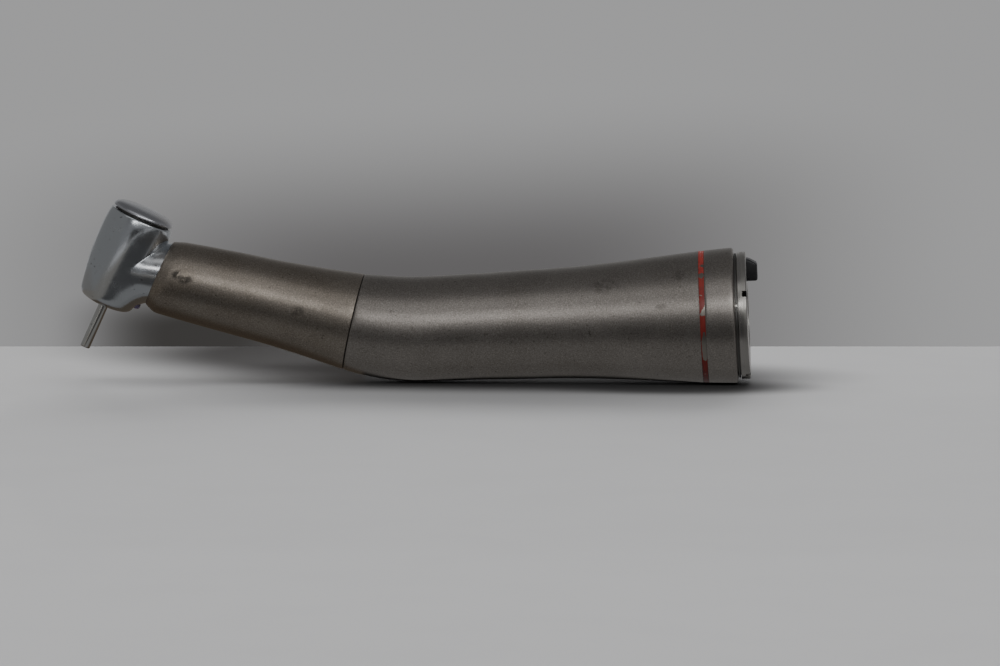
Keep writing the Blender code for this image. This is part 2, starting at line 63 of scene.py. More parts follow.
def axis_frame(origin, z_axis):
    """A matrix at origin with Z along z_axis and X on the object's upper side, in the plane of the bend."""
    z = Vector(z_axis).normalized()
    across = Vector((0, 1, 0))
    across = across if across.cross(z).z > 0 or abs(z.z) > 0.7 else -across
    x = across.cross(z).normalized()
    turn = Matrix((x, z.cross(x), z)).transposed().to_4x4()
    return Matrix.Translation(Vector(origin)) @ turn


REAR = Vector(JOINTS["input_spin"]["pos_m"])
KNEE = Vector(JOINTS["front_shaft_spin"]["pos_m"])
NECK_BACK = Vector(JOINTS["front_shaft_spin"]["axis"])
CROSSING = Vector(JOINTS["spindle_spin"]["pos_m"])
HEAD_UP = -Vector(JOINTS["spindle_spin"]["axis"])
HEAD_TOP_TO_CROSSING = 8.4
rear_axis = axis_frame(REAR, (1, 0, 0))
head_axis = axis_frame(CROSSING + HEAD_UP * HEAD_TOP_TO_CROSSING * MM, HEAD_UP)

KNEE_ANGLE = math.acos(NECK_BACK.x)
HEAD_LEAN = math.acos(HEAD_UP.z)
NECK_TO_HEAD_ANGLE = math.pi / 2 + KNEE_ANGLE - HEAD_LEAN
FACE_LEAN = math.tan(HEAD_LEAN - KNEE_ANGLE)
BEND_RADIUS = 45.0
BEND_LENGTH = BEND_RADIUS * KNEE_ANGLE
BEND_START = (REAR.x - KNEE.x) / MM - BEND_RADIUS * math.tan(KNEE_ANGLE / 2)


def bent_axis(s):
    """Centre and forward direction of the casing's bent axis, s along it from the rear face."""
    turn = min(max(s - BEND_START, 0), BEND_LENGTH) / BEND_RADIUS
    ahead = max(s - BEND_START - BEND_LENGTH, 0)
    forward = Vector((-math.cos(turn), 0, math.sin(turn)))
    rise = Vector((-math.sin(turn), 0, 1 - math.cos(turn))) * BEND_RADIUS
    return Vector((-min(s, BEND_START), 0, 0)) + rise + forward * ahead, forward


# Mesh helpers


def mesh_piece(name, points, faces, material, body, nodes, sharp=SHARP_ANGLE):
    """A visible piece that rides a body and takes the place of the CAD nodes named."""
    mesh = bpy.data.meshes.new(name)
    mesh.from_pydata(points, [], faces)
    mesh.shade_smooth()
    mesh.set_sharp_from_angle(angle=math.radians(sharp))
    mesh.materials.append(material)
    piece = bpy.data.objects.new(name, mesh)
    bpy.context.scene.collection.objects.link(piece)
    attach(piece, body)
    if nodes:
        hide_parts(*nodes)
    return piece


def join_rings(rings, closed):
    """Points and faces of a skin over equal rings. A closed skin goes on from the last ring to the first."""
    count = len(rings[0])
    points = [point for ring in rings for point in ring]
    faces = []
    for index in range(len(rings) - (not closed)):
        here, there = index * count, (index + 1) % len(rings) * count
        for side in range(count):
            after = (side + 1) % count
            faces.append((here + side, here + after, there + after, there + side))
    if not closed:
        faces.append(tuple(range(count))[::-1])
        faces.append(tuple(range(len(points) - count, len(points))))
    return points, faces


def outward(points, faces):
    """The faces, turned round if they look into the solid."""
    volume = 0
    for face in faces:
        first = Vector(points[face[0]])
        for second, third in zip(face[1:], face[2:]):
            volume += first.dot(Vector(points[second]).cross(Vector(points[third])))
    return faces if volume > 0 else [face[::-1] for face in faces]


def rounded(profile, closed=True):
    """The outline with each corner (r, z, radius) turned into a short curve of CORNER_POINTS points."""
    corners = [(Vector(corner[:2]), corner[2] if len(corner) > 2 else 0) for corner in profile]
    count = len(corners)
    outline = []
    for index, (corner, radius) in enumerate(corners):
        at_end = not closed and index in (0, count - 1)
        if radius == 0 or at_end:
            outline.append(tuple(corner))
            continue
        back = (corners[index - 1][0] - corner).normalized()
        ahead = (corners[(index + 1) % count][0] - corner).normalized()
        for step in range(CORNER_POINTS):
            t = step / (CORNER_POINTS - 1)
            point = corner + back * radius * (1 - t) ** 2 + ahead * radius * t**2
            outline.append(tuple(point))
    return outline


def lathe(name, profile, axes, material, body, nodes, sides=ROUND_SIDES):
    """A turned piece from (radius, height, corner radius) points. It closes on the axis or on itself."""
    closed = profile[0][0] > 0 or profile[-1][0] > 0
    outline = rounded(profile, closed)
    points, faces = lathe_skin(outline, axes, sides, closed)
    return mesh_piece(name, points, outward(points, faces), material, body, nodes)


def lathe_skin(outline, axes, sides, closed):
    """Points and faces of an outline turned round Z. If it isn't closed, its two ends are on the axis."""
    middle = outline if closed else outline[1:-1]
    rings = []
    for radius, height in middle:
        ring = []
        for side in range(sides):
            turn = math.tau * side / sides
            place = Vector((radius * math.cos(turn), radius * math.sin(turn), height))
            ring.append(tuple(axes @ (place * MM)))
        rings.append(ring)
    points, faces = join_rings(rings, closed)
    if not closed:
        faces = faces[:-2]
        for (_, height), start, turned in ((outline[0], 0, True), (outline[-1], len(points) - sides, False)):
            centre = len(points)
            points.append(tuple(axes @ Vector((0, 0, height * MM))))
            for side in range(sides):
                fan = (centre, start + side, start + (side + 1) % sides)
                faces.append(fan if turned else fan[::-1])
    return points, faces


def smooth_through(knots, spacing):
    """Catmull-Rom points through tuples, about spacing apart in their first number."""
    knots = [Vector(knot) for knot in knots]
    padded = [knots[0] * 2 - knots[1], *knots, knots[-1] * 2 - knots[-2]]
    points = []
    for a, b, c, d in zip(padded, padded[1:], padded[2:], padded[3:]):
        steps = max(1, round(abs(c[0] - b[0]) / spacing))
        for step in range(steps):
            t = step / steps
            points.append(
                b + (c - a) * (t / 2) + (a * 2 - b * 5 + c * 4 - d) * (t * t / 2)
                + (b * 3 - a - c * 3 + d) * (t * t * t / 2)
            )
    return [tuple(point) for point in points + [knots[-1]]]


def bent_rings(stations):
    """Rings on the bent axis from (s, radius, rise of the centre, backward lean of the plane)."""
    rings = []
    for s, radius, rise, lean in stations:
        centre, forward = bent_axis(s)
        up = Vector((0, 1, 0)).cross(forward)
        ring = []
        for side in range(ROUND_SIDES):
            turn = math.tau * side / ROUND_SIDES
            height = rise + radius * math.cos(turn)
            point = centre + up * height - forward * lean * height
            point.y = radius * math.sin(turn)
            ring.append(tuple(REAR + point * MM))
        rings.append(ring)
    return rings


def bent_piece(name, stations, material, nodes):
    points, faces = join_rings(bent_rings(stations), True)
    return mesh_piece(name, points, outward(points, faces), material, "root", nodes)


NOTCH_TURNS = [65 + 90 * quarter for quarter in range(4)]


def notch_place(degrees, radius):
    """The middle of a spanner notch of the rear ring, at a radius in millimetres."""
    turn = math.radians(degrees)
    return rear_axis @ (Vector((radius * math.cos(turn), radius * math.sin(turn), 0)) * MM)


# Materials


class Finish:
    """A material with a Principled shader and the few nodes that the finishes below share."""

    def __init__(self, name, colour, roughness, metallic, **fixed):
        self.material = bpy.data.materials.new(name)
        self.material.use_nodes = True
        self.tree = self.material.node_tree
        self.shader = self.tree.nodes["Principled BSDF"]
        self.shader.inputs["Base Color"].default_value = (*colour, 1)
        self.shader.inputs["Roughness"].default_value = roughness
        self.shader.inputs["Metallic"].default_value = metallic
        for socket, value in fixed.items():
            self.shader.inputs[socket.replace("_", " ")].default_value = value
        self.place = self.node("ShaderNodeTexCoord").outputs["Object"]

    def node(self, kind, **settings):
        node = self.tree.nodes.new(kind)
        for key, value in settings.items():
            setattr(node, key, value)
        return node

    def link(self, source, target):
        self.tree.links.new(source, target)

    def noise(self, per_metre, detail=3.0, stretch=(1, 1, 1), offset=(0, 0, 0), distortion=0.0):
        mapping = self.node("ShaderNodeMapping")
        mapping.inputs["Scale"].default_value = stretch
        mapping.inputs["Location"].default_value = offset
        self.link(self.place, mapping.inputs["Vector"])
        noise = self.node("ShaderNodeTexNoise")
        noise.inputs["Scale"].default_value = per_metre
        noise.inputs["Detail"].default_value = detail
        noise.inputs["Distortion"].default_value = distortion
        self.link(mapping.outputs["Vector"], noise.inputs["Vector"])
        return noise.outputs["Fac"]

    def band(self, value, low, high, to_low=0.0, to_high=1.0):
        """value mapped smoothly from low..high to the two given ends."""
        step = self.node("ShaderNodeMapRange", interpolation_type="SMOOTHSTEP")
        for index, number in enumerate((low, high, to_low, to_high), 1):
            step.inputs[index].default_value = number
        self.link(value, step.inputs[0])
        return step.outputs[0]

    def math(self, operation, first, second):
        node = self.node("ShaderNodeMath", operation=operation)
        for socket, value in zip(node.inputs, (first, second)):
            if isinstance(value, (int, float)):
                socket.default_value = value
            else:
                self.link(value, socket)
        return node.outputs[0]

    def near(self, centre, size, softness=0.5):
        """1 inside an ellipsoid about a place in metres, falling to 0 over its outer part."""
        mapping = self.node("ShaderNodeMapping", vector_type="TEXTURE")
        mapping.inputs["Location"].default_value = centre
        mapping.inputs["Scale"].default_value = size
        self.link(self.place, mapping.inputs["Vector"])
        length = self.node("ShaderNodeVectorMath", operation="LENGTH")
        self.link(mapping.outputs["Vector"], length.inputs[0])
        return self.band(length.outputs["Value"], 1 - softness, 1 + softness, 1.0, 0.0)

    def tint(self, mask, colour):
        """Mixes a colour over the base colour where the mask is 1."""
        mix = self.node("ShaderNodeMix", data_type="RGBA")
        self.link(mask, mix.inputs["Factor"])
        before = self.shader.inputs["Base Color"]
        if before.is_linked:
            self.link(before.links[0].from_socket, mix.inputs["A"])
        else:
            mix.inputs["A"].default_value = before.default_value
        mix.inputs["B"].default_value = (*colour, 1)
        self.link(mix.outputs["Result"], before)

    def change(self, socket, mask, value):
        """Mixes a number over a socket's number where the mask is 1."""
        mix = self.node("ShaderNodeMix", data_type="FLOAT")
        self.link(mask, mix.inputs["Factor"])
        before = self.shader.inputs[socket]
        if before.is_linked:
            self.link(before.links[0].from_socket, mix.inputs["A"])
        else:
            mix.inputs["A"].default_value = before.default_value
        mix.inputs["B"].default_value = value
        self.link(mix.outputs["Result"], before)

    def bump(self, height, strength, distance):
        bump = self.node("ShaderNodeBump")
        bump.inputs["Strength"].default_value = strength
        bump.inputs["Distance"].default_value = distance
        self.link(height, bump.inputs["Height"])
        before = self.shader.inputs["Normal"]
        if before.is_linked:
            self.link(before.links[0].from_socket, bump.inputs["Normal"])
        self.link(bump.outputs["Normal"], before)


def blasted(name, colour, dark, marks=()):
    """Bead-blasted steel: a fine grain that sparkles in the highlight, a cloudy patina and handling marks."""
    finish = Finish(name, colour, 0.37, 1.0)
    cloud = finish.noise(110, 4)
    finish.tint(finish.band(cloud, 0.42, 0.72, 0, 0.45), dark)
    grain = finish.noise(5200, 2)
    finish.tint(finish.band(grain, 0.5, 0.72, 0, 0.6), tuple(min(c * 1.6, 1) for c in colour))
    finish.tint(finish.band(grain, 0.48, 0.28, 0, 0.55), tuple(c * 0.5 for c in colour))
    finish.change("Roughness", finish.band(finish.noise(160, 3), 0.35, 0.7), 0.41)
    speck = finish.noise(1500, 2, offset=(3.1, 0.7, 1.9))
    finish.tint(finish.band(speck, 0.68, 0.74, 0, 0.5), tuple(c * 0.4 for c in dark))
    for centre, size, depth in marks:
        patch = finish.noise(900, 3, offset=centre, distortion=0.6)
        mask = finish.math("MULTIPLY", finish.near(centre, size), finish.band(patch, 0.38, 0.55))
        finish.tint(finish.math("MULTIPLY", mask, depth), (0.05, 0.045, 0.04))
    finish.bump(grain, 0.35, 0.00004)
    return finish.material


def polished(name, colour, roughness=0.14):
    """Polished steel gone slightly dull: fine swirls, a few pits and a breath of stain."""
    finish = Finish(name, colour, roughness, 1.0)
    haze = finish.noise(260, 4, distortion=0.4)
    finish.change("Roughness", finish.band(haze, 0.4, 0.75), roughness + 0.14)
    finish.tint(finish.band(finish.noise(150, 3, offset=(1.3, 0, 0)), 0.5, 0.8, 0, 0.4), (0.42, 0.36, 0.30))
    pit = finish.noise(1900, 1, offset=(0, 2.2, 0))
    finish.tint(finish.band(pit, 0.73, 0.76, 0, 0.7), (0.08, 0.08, 0.08))
    scratch = finish.noise(700, 2, stretch=(1, 1, 7))
    finish.bump(scratch, 0.05, 0.00003)
    return finish.material


def satin(name, colour, roughness=0.28, pockets=()):
    """Turned steel: fine rings of tool marks around X, a soft cloud, and painted shade darkening any pockets.
    """
    finish = Finish(name, colour, roughness, 1.0)
    rings = finish.noise(3000, 2, stretch=(1, 0.02, 0.02))
    finish.change("Roughness", finish.band(rings, 0.35, 0.65), roughness + 0.12)
    finish.tint(finish.band(finish.noise(300, 3), 0.5, 0.8, 0, 0.5), tuple(c * 0.6 for c in colour))
    for place in pockets:
        # Painted shade: each pocket is tinted near black and made rough, as if no light reached into it.
        pocket_shade = finish.near(tuple(place), (0.0009, 0.0007, 0.0007), 0.15)
        finish.tint(pocket_shade, (0.012, 0.012, 0.012))
        finish.change("Roughness", pocket_shade, 0.8)
    finish.bump(rings, 0.15, 0.00002)
    return finish.material


def plain(name, colour, roughness, metallic, grain=2500, strength=0.12, **fixed):
    """A moulded or ground surface with a fine grain and slight wear."""
    finish = Finish(name, colour, roughness, metallic, **fixed)
    fine = finish.noise(grain, 3)
    finish.change("Roughness", finish.band(finish.noise(500, 3), 0.4, 0.7), min(roughness + 0.15, 1))
    finish.tint(finish.band(fine, 0.5, 0.8, 0, 0.35), tuple(min(c * 1.5 + 0.01, 1) for c in colour))
    finish.bump(fine, strength, 0.00002)
    return finish.material


# The stretches of the band with the most chips: along from the rear face, height, half height and wear.

WORN_STRETCHES = [(-6.95, -3.8, 2.5, 0.32), (-6.9, 1.0, 1.5, 0.13), (-7.1, 7.3, 0.5, 0.16)]


def enamel(name):
    """Red enamel, chipped through to bare metal in places, most of all low on the near side."""
    finish = Finish(name, (0.33, 0.023, 0.013), 0.34, 0.0)
    finish.tint(finish.band(finish.noise(900, 3), 0.45, 0.7, 0, 0.6), (0.2, 0.016, 0.012))
    chip = finish.noise(620, 2, offset=(0.4, 0.2, 0.9), distortion=0.3)
    for along, height, half_height, wear in WORN_STRETCHES:
        centre = tuple(REAR + Vector((along, -8.0, height)) * MM)
        worn = finish.near(centre, (0.0005, 0.006, half_height * MM), 0.25)
        chip = finish.math("ADD", finish.math("MULTIPLY", worn, wear), chip)
    bare = finish.band(chip, 0.645, 0.66)
    finish.tint(bare, (0.30, 0.28, 0.25))
    finish.change("Metallic", bare, 1.0)
    finish.bump(bare, -0.6, 0.00004)
    return finish.material


def mark(centre, half_sizes, depth):
    """A handling mark of the casing, from millimetres off the middle of its rear face."""
    return tuple(REAR + Vector(centre) * MM), half_sizes, depth


steel_sleeve = blasted(
    "blasted_steel", (0.33, 0.305, 0.28), (0.24, 0.22, 0.195),
    [
        mark((-22.6, -7.2, 6.2), (0.0020, 0.004, 0.0010), 0.3),
        mark((-13.6, -9.6, 2.9), (0.0008, 0.003, 0.0005), 0.4),
        mark((-10.5, -7.5, 7.4), (0.0008, 0.003, 0.0007), 0.35),
    ],
)
neck_steel = blasted(
    "blasted_steel_front", (0.32, 0.285, 0.245), (0.225, 0.19, 0.15),
    [
        mark((-90.6, -6.0, 10.9), (0.0008, 0.003, 0.0006), 0.95),
        mark((-89.2, -6.0, 10.1), (0.0011, 0.003, 0.0006), 0.85),
        mark((-71.5, -7.0, 4.4), (0.0011, 0.003, 0.0007), 0.5),
    ],
)
polished_steel = polished("polished_steel", (0.56, 0.585, 0.61), 0.17)
button_steel = polished("button_steel", (0.52, 0.53, 0.56), 0.22)
shank_steel = polished("shank_steel", (0.60, 0.60, 0.58), 0.10)
satin_steel = satin("satin_steel", (0.50, 0.485, 0.46))
# The rear ring's four spanner notches get painted shade through the pockets.
ring_steel = satin("ring_steel", (0.44, 0.425, 0.40), 0.26, [notch_place(turn, 9.4) for turn in NOTCH_TURNS])
# A darkened steel that paints shade on parts seen only in narrow gaps and grooves.
shaded_dark_steel = satin("shaded_dark_steel", (0.17, 0.165, 0.16), 0.4)
bearing_steel = plain("bearing_steel", (0.55, 0.55, 0.57), 0.16, 1.0)
gear_steel = satin("gear_steel", (0.40, 0.38, 0.36), 0.24)
cage_polymer = plain("cage_polymer", (0.30, 0.21, 0.10), 0.5, 0.0)
black_plastic = plain("black_plastic", (0.012, 0.012, 0.014), 0.38, 0.0, 1800, 0.3)
black_rubber = plain("black_rubber", (0.012, 0.012, 0.012), 0.75, 0.0, 3000, 0.4)
red_enamel = enamel("red_enamel")
glass_rod = plain("glass_rod", (0.10, 0.075, 0.14), 0.07, 0.0, Coat_Weight=0.6)
SLOT_MATERIALS = {
    "blasted_steel": steel_sleeve,
    "blasted_steel_front": neck_steel,
    "polished_steel": polished_steel,
    "satin_steel": satin_steel,
    "shank_steel": shank_steel,
    "bearing_steel": bearing_steel,
    "gear_steel": gear_steel,
    "red_enamel": red_enamel,
    "black_plastic": black_plastic,
    "black_rubber": black_rubber,
    "cage_polymer": cage_polymer,
    "glass_rod": glass_rod,
}


def dress_cad_nodes():
    """Gives each CAD node the procedural material of its slot. The bearing cap gets the darkened steel,
    painted shade in the gap under the button.
    """
    for subpart in frame["record"]["subparts"]:
        node = frame["nodes"][subpart["node"]]
        node.data.materials.clear()
        # Painted shade: the bearing cap seen in the button's gap is darkened.
        shaded_cap = subpart["node"] == "bearing_cap"
        node.data.materials.append(shaded_dark_steel if shaded_cap else SLOT_MATERIALS[subpart["material_slot"]])


# Casing

# Outlines are (s along the bent axis from the rear face, radius), and the neck's also have the rise of
# the ring's centre and its backward lean.

SLEEVE_LINE = [
    (2.6, 10.86), (4.5, 10.75), (7.1, 10.57), (11.7, 10.17), (18.1, 9.6), (24.5, 9.12), (30.1, 8.84),
    (36.5, 8.68), (42.9, 8.5), (49.3, 8.42), (54.5, 8.38), (58.5, 8.22), (61.0, 8.04), (62.9, 7.86),
]
SLEEVE_REAR_EDGE = [(2.0, 10.45), (2.03, 10.6), (2.12, 10.73), (2.3, 10.83)]
SLEEVE_FRONT_EDGE = [(63.12, 7.8), (63.17, 7.75), (63.19, 7.65)]
SLEEVE_BORE = [
    (63.19, 6.95), (57.2, 7.3), (50.0, 7.42), (36.5, 7.7), (24.5, 8.1), (7.5, 9.2), (7.5, 9.62), (2.0, 9.62),
]
BAND_MIDDLE, BAND_HALF, BAND_DEPTH, BAND_RADIUS = 7.1, 0.46, 0.26, 10.57
SEAM_FRONT = 63.31
NECK_EDGE = [(SEAM_FRONT, 7.65, 0, 0), (SEAM_FRONT + 0.02, 7.74, 0, 0), (SEAM_FRONT + 0.07, 7.79, 0, 0)]
NECK_LINE = [(63.65, 7.8), (66.5, 7.55), (69.2, 7.3), (75.9, 6.82), (82.4, 6.58), (89.2, 6.3), (93.2, 6.08)]
NECK_NOSE = [
    (93.7, 6.0, 0.02, 1), (94.1, 5.88, 0.07, 1), (94.9, 5.58, 0.2, 1), (95.3, 5.4, 0.3, 1),
    (95.4, 5.33, 0.3, 1), (95.42, 5.22, 0.3, 1),
]
NECK_BORE = [
    (95.42, 4.62, 0.42, 1), (93.0, 5.0, 0.1, 1), (89.2, 5.4, 0, 0.4), (82.4, 5.7, 0, 0), (69.2, 6.45, 0, 0),
    (SEAM_FRONT, 6.8, 0, 0),
]
LINE_SPACING = 0.7


def band_groove():
    """The outline of the groove that holds the colour band."""
    rear, front, floor = BAND_MIDDLE - BAND_HALF, BAND_MIDDLE + BAND_HALF, BAND_RADIUS - BAND_DEPTH
    return [
        (rear - 0.03, BAND_RADIUS + 0.03), (rear, BAND_RADIUS), (rear, floor),
        (front, floor), (front, BAND_RADIUS - 0.04), (front + 0.03, BAND_RADIUS - 0.02),
    ]


def casing():
    grip_sleeve()
    neck_sleeve()
    lathe(
        "colour_band_ring",
        [(10.33, -BAND_MIDDLE + 0.43), (10.58, -BAND_MIDDLE + 0.43, 0.05), (10.55, -BAND_MIDDLE - 0.43, 0.05),
         (10.33, -BAND_MIDDLE - 0.43)],
        rear_axis, red_enamel, "root", ["colour_band"],
    )


def grip_sleeve():
    line = smooth_through(SLEEVE_LINE, LINE_SPACING)
    clear = BAND_HALF + 0.14
    behind = [point for point in line if point[0] < BAND_MIDDLE - clear]
    ahead = [point for point in line if point[0] > BAND_MIDDLE + clear]
    outline = SLEEVE_REAR_EDGE + behind + band_groove() + ahead + SLEEVE_FRONT_EDGE + SLEEVE_BORE
    stations = [(s, radius, 0, 0) for s, radius in outline]
    bent_piece("grip_sleeve_skin", stations, steel_sleeve, ["grip_sleeve"])


def neck_sleeve():
    stations = list(NECK_EDGE)
    for s, radius in smooth_through(NECK_LINE, LINE_SPACING):
        lean = min(max((s - 80) / 12, 0), 1) ** 1.5
        stations.append((s, radius, 0, lean))
    stations += NECK_NOSE + NECK_BORE
    stations = [(s, radius, rise, lean * FACE_LEAN) for s, radius, rise, lean in stations]
    bent_piece("neck_sleeve_skin", stations, neck_steel, ["neck_sleeve"])


# Motor end


def motor_end():
    ring = lathe(
        "rear_ring_body",
        [(5.35, 0, 0.05), (9.95, 0, 0.06), (10.17, -0.15, 0.1), (10.12, -1.45, 0.06), (9.45, -1.47, 0.05),
         (9.45, -6.0, 0.1), (5.35, -6.0, 0.05)],
        rear_axis, ring_steel, "root", ["rear_ring"],
    )
    for index, degrees in enumerate(NOTCH_TURNS):
        cut(ring, f"notch_{index}", (1.5, 1.0, 1.5), (10.3, 0, 0), degrees)
    cut(ring, "inlet_pocket", (3.95, 4.2, 6.0), (7.2, 0, -1.0), 0)
    bake_cuts(ring)
    # The snap ring takes the darkened steel as painted shade in its groove.
    snap = lathe(
        "snap_ring_body",
        [(9.5, -1.88, 0.03), (9.5, -1.6, 0.03), (9.95, -1.6, 0.08), (9.95, -1.88, 0.08)],
        rear_axis, shaded_dark_steel, "root", ["snap_ring"],
    )
    cut(snap, "snap_gap", (1.5, 0.5, 1.0), (9.7, 0, -1.7), 75)
    bake_cuts(snap)
    lathe(
        "coupling_tube_body",
        [(4.6, -0.4, 0.12), (5.3, -0.4, 0.1), (5.3, -23.9, 0.1), (4.6, -23.9), (4.6, -12.0, 0.1),
         (4.72, -11.7, 0.05), (4.72, -10.3, 0.05), (4.6, -10.0, 0.1)],
        rear_axis, satin_steel, "root", ["coupling_tube"], sides=96,
    )


def cut(piece, name, size, centre, degrees):
    """Adds a Boolean that takes a box out of the piece, at a centre turned round the rear axis."""
    turn = Matrix.Rotation(math.radians(degrees), 4, "Z")
    place = rear_axis @ turn @ Matrix.Translation(Vector(centre) * MM)
    x_half, y_half, z_half = [length / 2 * MM for length in size]
    corners = [(x, y, z) for x in (-x_half, x_half) for y in (-y_half, y_half) for z in (-z_half, z_half)]
    faces = [(0, 1, 3, 2), (4, 6, 7, 5), (0, 4, 5, 1), (2, 3, 7, 6), (0, 2, 6, 4), (1, 5, 7, 3)]
    mesh = bpy.data.meshes.new(name)
    mesh.from_pydata([tuple(place @ Vector(corner)) for corner in corners], [], faces)
    box = bpy.data.objects.new(name, mesh)
    bpy.context.scene.collection.objects.link(box)
    modifier = piece.modifiers.new(name, "BOOLEAN")
    modifier.object = box
    modifier.solver = "EXACT"


def bake_cuts(piece):
    """Keeps the piece's cut shape as its mesh, and removes the cutters."""
    bpy.context.view_layer.update()
    graph = bpy.context.evaluated_depsgraph_get()
    shape = bpy.data.meshes.new_from_object(piece.evaluated_get(graph))
    cutters = [modifier.object for modifier in piece.modifiers]
    piece.modifiers.clear()
    shape.set_sharp_from_angle(angle=math.radians(SHARP_ANGLE))
    piece.data = shape
    for cutter in cutters:
        bpy.data.objects.remove(cutter, do_unlink=True)


# Head

# The barrel's outline is (depth below its top edge, radius).

BARREL_LINE = [
    (0.0, 5.1), (0.06, 5.18), (0.25, 5.24), (0.8, 5.36), (1.6, 5.46), (2.8, 5.52), (4.2, 5.53), (5.8, 5.5),
    (7.4, 5.42), (9.0, 5.3), (10.6, 5.11), (12.0, 4.91), (13.2, 4.72), (13.8, 4.6), (14.2, 4.47),
    (14.5, 4.28), (14.75, 4.0), (14.95, 3.6), (15.1, 3.1), (15.25, 2.3),
]
BARREL_MOUTH = [(4.58, -1.1), (4.58, -0.04), (4.66, 0.0)]
BARREL_BORE = [(1.5, -15.25), (1.36, -15.2), (1.36, -14.75), (3.23, -14.75), (3.23, -1.1)]
COLLAR_RADIUS = 5.05
COLLAR_FLARE = 0.17
COLLAR_RISE = 0.3
COLLAR_START = 4.6
FACE_DISTANCE = 6.16
BARREL_MIDDLE_DEPTH = 7.2


def barrel_radius(depth):
    """The barrel's outer radius at a depth below its top edge."""
    for (top, above), (bottom, below) in zip(BARREL_LINE, BARREL_LINE[1:]):
        if depth <= bottom:
            return above + (below - above) * (depth - top) / (bottom - top)
    return BARREL_LINE[-1][1]


def barrel_point(turn, depth):
    """A point on the barrel's side."""
    radius = barrel_radius(depth)
    return Vector((radius * math.cos(turn), radius * math.sin(turn), -depth))


def collar_line(turn, back):
    """A point on the collar's side, at a turn from the neck's top and a distance behind the head's axis."""
    share = min(max((back - COLLAR_START) / (FACE_DISTANCE - COLLAR_START), 0), 1)
    radius = COLLAR_RADIUS + COLLAR_FLARE * share
    height = COLLAR_RISE * share * share + radius * math.cos(turn)
    along = (height + math.cos(NECK_TO_HEAD_ANGLE) * back) / math.sin(NECK_TO_HEAD_ANGLE)
    return Vector((back, radius * math.sin(turn), along - HEAD_TOP_TO_CROSSING))


def collar_meeting(turn):
    """Where the collar's side meets the barrel, and how far that is behind the head's axis."""
    back = 4.0
    for _ in range(8):
        meeting = collar_line(turn, back)
        back = math.sqrt(max(barrel_radius(-meeting.z) ** 2 - meeting.y**2, 0.05))
    return collar_line(turn, back), back


def collar_column(turn):
    """Points of the collar from the neck's face into the barrel. Its blend is sharp above and soft below."""
    lower = (1 - math.cos(turn)) / 2
    soft = min(max((lower - 0.38) / 0.4, 0), 1)
    reach = 0.16 + 1.5 * soft * soft * (3 - 2 * soft)
    meeting, back = collar_meeting(turn)
    edge = collar_line(turn, FACE_DISTANCE)
    start = collar_line(turn, min(back + reach, FACE_DISTANCE - 0.05))
    spread = reach * 1.15
    end_turn = math.atan2(meeting.y, meeting.x) + spread * math.sin(turn) / barrel_radius(-meeting.z)
    end_depth = min(-meeting.z - spread * math.cos(turn), 14.6)
    end = barrel_point(end_turn, end_depth)
    bend = meeting.lerp((start + end) / 2, 0.45 * soft)
    inner_edge = Vector((FACE_DISTANCE, edge.y * 0.3, edge.z * 0.3 - BARREL_MIDDLE_DEPTH * 0.7))
    column = [inner_edge, edge, *(edge.lerp(start, step / 3) for step in (1, 2, 3))]
    for step in range(1, 9):
        t = step / 8
        column.append(start * (1 - t) ** 2 + bend * (2 * t * (1 - t)) + end * t * t)
    column.append(end * 0.985 + Vector((0, 0, -end_depth)) * 0.015)
    column.append(Vector((end.x * 0.7, end.y * 0.7, -end_depth * 0.7 - BARREL_MIDDLE_DEPTH * 0.3)))
    return column


def collar_rings():
    columns = [collar_column(math.tau * side / ROUND_SIDES) for side in range(ROUND_SIDES)]
    return [[tuple(head_axis @ (point * MM)) for point in ring] for ring in zip(*columns)]


def head():
    outline = [(radius, -depth) for depth, radius in BARREL_LINE]
    points, faces = lathe_skin(BARREL_MOUTH + outline + BARREL_BORE, head_axis, ROUND_SIDES, True)
    faces = outward(points, faces)
    collar_points, collar_faces = join_rings(collar_rings(), False)
    collar_faces = outward(collar_points, collar_faces)
    shift = len(points)
    faces = faces + [tuple(index + shift for index in face) for face in collar_faces]
    mesh_piece(
        "head_housing_shell", points + collar_points, faces,
        polished_steel, "root", ["head_housing"], sharp=50,
    )
    lathe(
        "push_button_cap",
        [(0, 1.85), (0.9, 1.83), (1.8, 1.78), (2.6, 1.7), (3.2, 1.62), (3.7, 1.52), (4.1, 1.41), (4.4, 1.29),
         (4.65, 1.15), (4.84, 0.98), (4.97, 0.8), (5.04, 0.62), (5.05, 0.45, 0.03), (4.45, 0.45, 0.03),
         (4.4, 0.8, 0.1), (3.6, 1.08), (0.8, 1.3), (0.6, 1.1), (0.6, -0.6, 0.1), (0, -0.6)],
        head_axis, button_steel, "button", ["push_button"],
    )
    lathe(
        "bur_shank_pin",
        [(0, -6.5), (0.8, -6.5, 0.1), (0.8, -22.8, 0.22), (0, -22.8)],
        head_axis, shank_steel, "instrument", ["bur_shank"], sides=SMALL_SIDES,
    )
    window_axis = head_axis @ Matrix.Translation(Vector((4.75, 0, 0)) * MM)
    lathe(
        "light_window_glass",
        [(0, -11.95), (0.74, -11.95, 0.05), (0.76, -13.5, 0.2), (0.4, -13.72), (0, -13.78)],
        window_axis, glass_rod, "root", ["light_window"], sides=SMALL_SIDES,
    )


